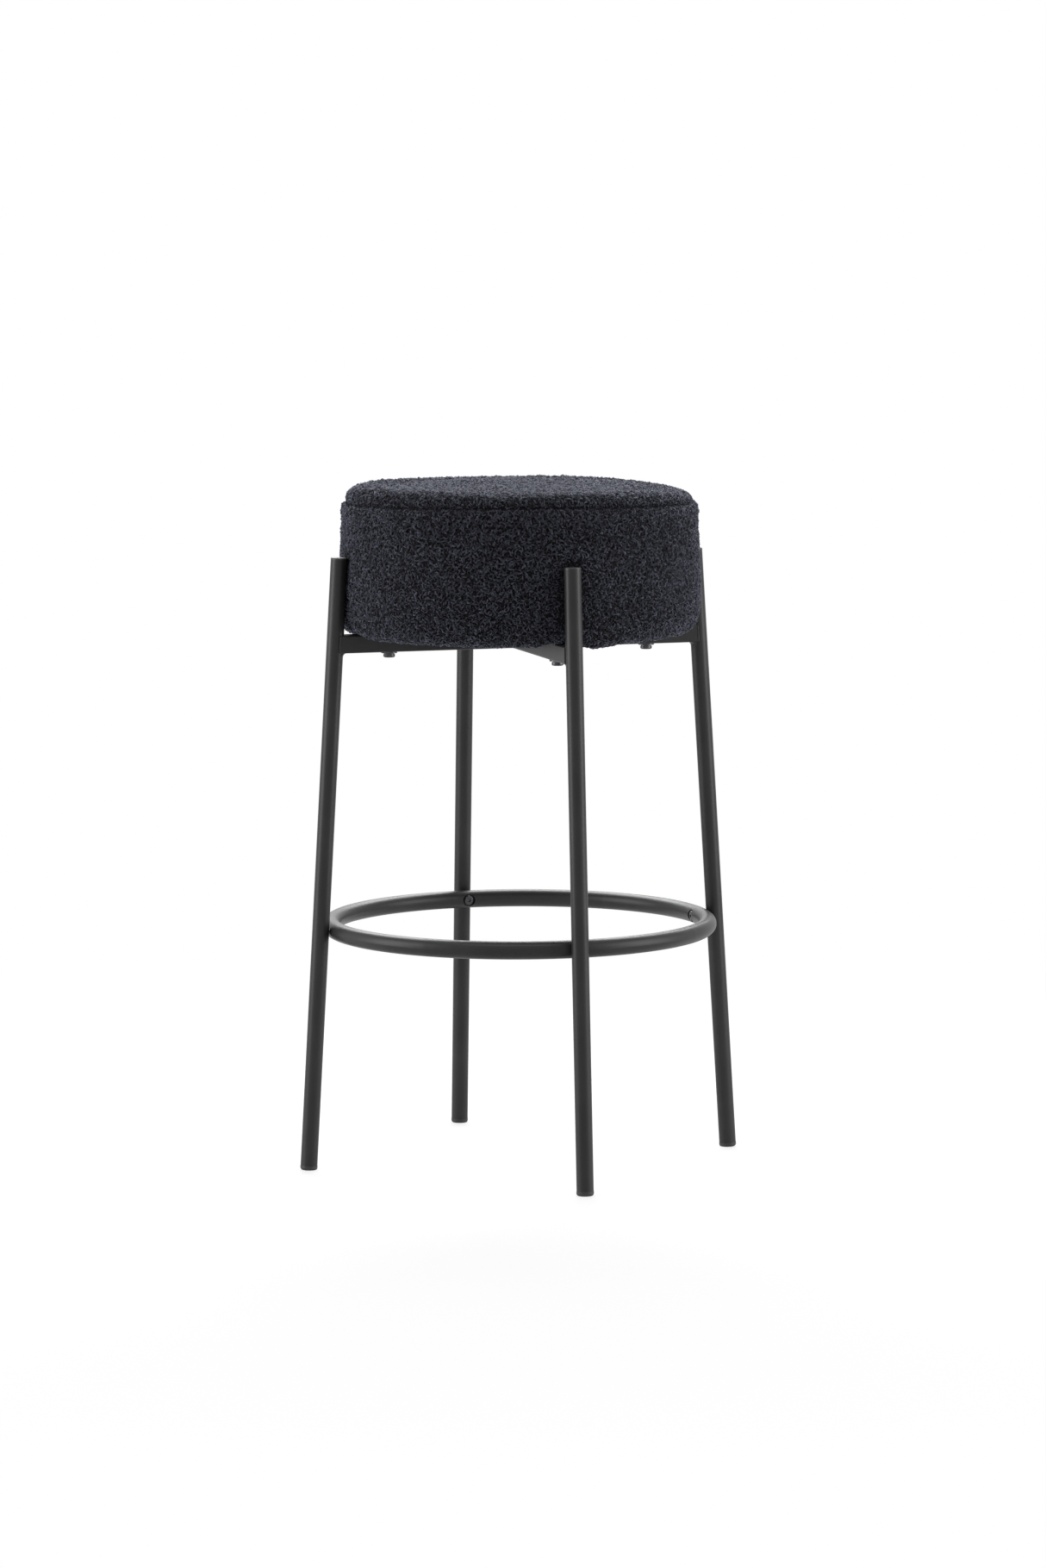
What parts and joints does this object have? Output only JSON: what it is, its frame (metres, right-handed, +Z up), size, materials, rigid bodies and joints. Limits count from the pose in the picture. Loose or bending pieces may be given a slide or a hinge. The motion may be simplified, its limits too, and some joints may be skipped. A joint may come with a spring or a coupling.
{
  "type": "bar stool with footrest",
  "caption": "Backless round bar stool: thick fabric-covered cushion on a bolted cross bar, leaning tube legs that rise beside the cushion, and a round tube footrest ring inside the legs.",
  "frame": {"origin": "on the floor, under the middle of the seat", "axes": "+Z up along the stool's axis, +X towards the right leg, -Y towards the front leg"},
  "size_m": [0.513, 0.513, 0.761],
  "materials": {
    "powder_coat": "matt black powder coat with a fine texture on steel tube",
    "moulded_plastic": "black moulded polyethylene",
    "black_fastener": "black oxide steel, satin",
    "zinc_steel": "zinc plated steel",
    "plywood": "raw birch plywood",
    "foam": "open-cell seat foam",
    "boucle": "anthracite boucle with a curly looped pile",
    "dust_cloth": "thin black non-woven cloth"
  },
  "bodies": {
    "root": {"leg_front": "powder_coat", "leg_cap_front": "moulded_plastic", "foot_glide_front": "moulded_plastic", "leg_right": "powder_coat", "leg_cap_right": "moulded_plastic", "foot_glide_right": "moulded_plastic", "leg_rear": "powder_coat", "leg_cap_rear": "moulded_plastic", "foot_glide_rear": "moulded_plastic", "leg_left": "powder_coat", "leg_cap_left": "moulded_plastic", "foot_glide_left": "moulded_plastic", "cross_bar_left_right": "powder_coat", "cross_bar_front_rear": "powder_coat", "bar_weld_beads": "powder_coat", "footrest_ring": "powder_coat", "footrest_screws": "black_fastener", "seat_bolts": "black_fastener", "seat_bolt_washers": "black_fastener", "seat_bolt_spring_washers": "black_fastener", "leg_thread_inserts": "zinc_steel", "seat_tee_nuts": "zinc_steel", "seat_board": "plywood", "seat_foam": "foam", "cover_top_panel": "boucle", "cover_side_band": "boucle", "dust_cover": "dust_cloth"}
  },
  "joints": []
}
